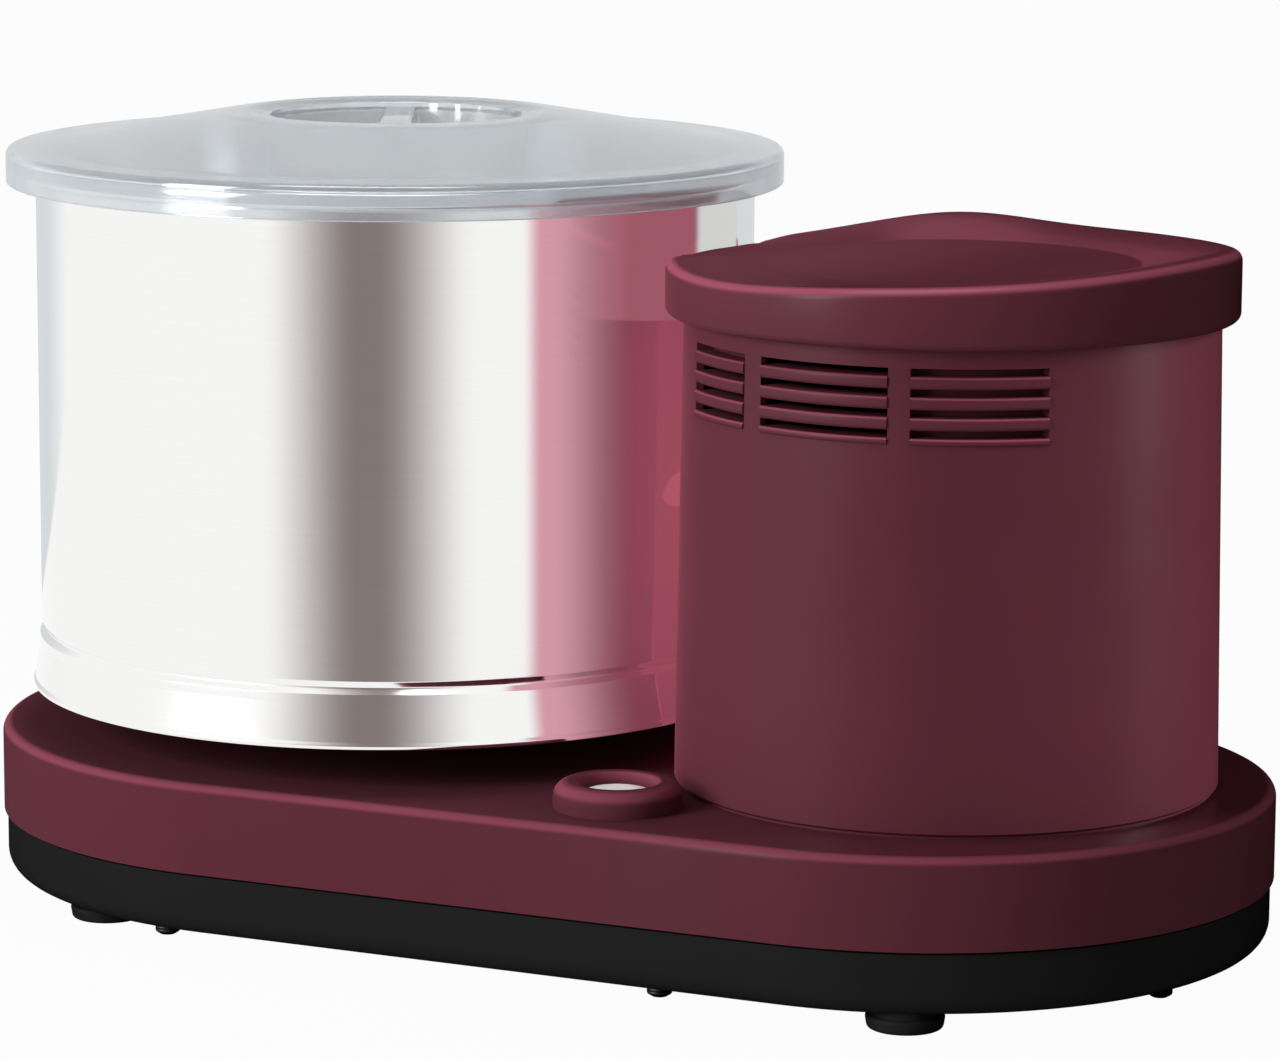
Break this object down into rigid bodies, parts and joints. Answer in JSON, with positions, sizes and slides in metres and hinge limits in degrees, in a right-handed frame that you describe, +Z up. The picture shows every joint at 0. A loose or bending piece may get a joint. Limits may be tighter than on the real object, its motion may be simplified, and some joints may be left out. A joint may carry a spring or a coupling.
{
  "type": "wet grinder",
  "caption": "Table-top wet grinder: lidded steel drum with a stone floor, rollers on a still carrier, and a motor tower that turns the drum by a belt.",
  "frame": {"origin": "at the level of the feet, under the middle of the base", "axes": "+X runs from the drum to the motor tower, +Z is up, and the button is on the -Y side"},
  "size_m": [0.4451, 0.2596, 0.2641],
  "materials": {
    "maroon_plastic": "glossy maroon moulding",
    "black_plastic": "satin black moulding",
    "black_rubber": "matt",
    "polished_steel": "mirror-polished stainless steel",
    "clear_plastic": "clear moulding with a blue-grey tint",
    "granite": "fine-ground grey granite",
    "white_plastic": "glossy white moulding",
    "plated_steel": "turned and plated",
    "core_steel": "stacked laminations",
    "cast_aluminium": "die cast"
  },
  "bodies": {
    "base": {"base_cover": "maroon_plastic", "base_tray": "black_plastic", "rubber_feet": "black_rubber", "tray_screws": "plated_steel", "spindle_plate": "plated_steel", "centre_shaft": "plated_steel", "drive_belt": "black_rubber", "motor_mounts": "black_rubber", "motor_plate": "plated_steel", "lower_shield": "cast_aluminium", "upper_shield": "cast_aluminium", "stator_core": "core_steel", "run_capacitor": "white_plastic", "thermal_cutout": "black_plastic", "terminal_block": "white_plastic", "power_switch": "black_plastic", "cord_gland": "black_plastic", "motor_tower": "maroon_plastic", "tower_cap": "maroon_plastic"},
    "drive": {"drive_hub": "cast_aluminium", "hub_bearing": "plated_steel", "driven_pulley": "black_plastic"},
    "drum": {"drum_shell": "polished_steel", "drum_skirt": "polished_steel", "drum_tube": "polished_steel", "floor_stone": "granite", "stone_lock_ring": "white_plastic", "drum_coupling": "black_plastic"},
    "lid": {"lid": "clear_plastic"},
    "carrier": {"stone_carrier": "white_plastic", "roller_axles": "plated_steel", "axle_nuts": "plated_steel", "carrier_knob": "white_plastic", "drum_scraper": "white_plastic"},
    "left_roller": {"left_roller_stone": "granite"},
    "right_roller": {"right_roller_stone": "granite"},
    "rotor": {"motor_shaft": "plated_steel", "rotor_core": "core_steel", "motor_pulley": "plated_steel", "cooling_fan": "black_plastic"},
    "button": {"power_button": "white_plastic"}
  },
  "joints": [
    {"name": "drum_spin", "type": "hinge", "parent": "base", "child": "drive", "pos_m": [-0.0872, 0, 0], "axis": [0, 0, 1], "continuous": true},
    {"name": "drum_lift", "type": "slide", "parent": "drive", "child": "drum", "axis": [0, 0, 1], "range_m": [0, 0.16]},
    {"name": "lid_lift", "type": "slide", "parent": "drum", "child": "lid", "axis": [0, 0, 1], "range_m": [0, 0.06]},
    {"name": "carrier_turn", "type": "hinge", "parent": "drum", "child": "carrier", "pos_m": [-0.0872, 0, 0], "axis": [0, 0, 1], "continuous": true},
    {"name": "left_roller_spin", "type": "hinge", "parent": "carrier", "child": "left_roller", "pos_m": [-0.1532, 0, 0.1515], "axis": [-1, 0, 0], "continuous": true},
    {"name": "right_roller_spin", "type": "hinge", "parent": "carrier", "child": "right_roller", "pos_m": [-0.0212, 0, 0.1515], "axis": [1, 0, 0], "continuous": true},
    {"name": "rotor_spin", "type": "hinge", "parent": "base", "child": "rotor", "pos_m": [0.117, 0, 0.1], "axis": [0, 0, 1], "continuous": true},
    {"name": "button_press", "type": "slide", "parent": "base", "child": "button", "axis": [0, 0, 1], "range_m": [-0.0025, 0], "stiffness_N_per_m": 600, "springref_m": 0.002}
  ],
  "couplings": [
    {"joint": "carrier_turn", "follows": "drum_spin", "ratio": -1},
    {"joint": "left_roller_spin", "follows": "drum_spin", "ratio": 1.65},
    {"joint": "right_roller_spin", "follows": "drum_spin", "ratio": 1.65},
    {"joint": "rotor_spin", "follows": "drum_spin", "ratio": 8.6957}
  ]
}
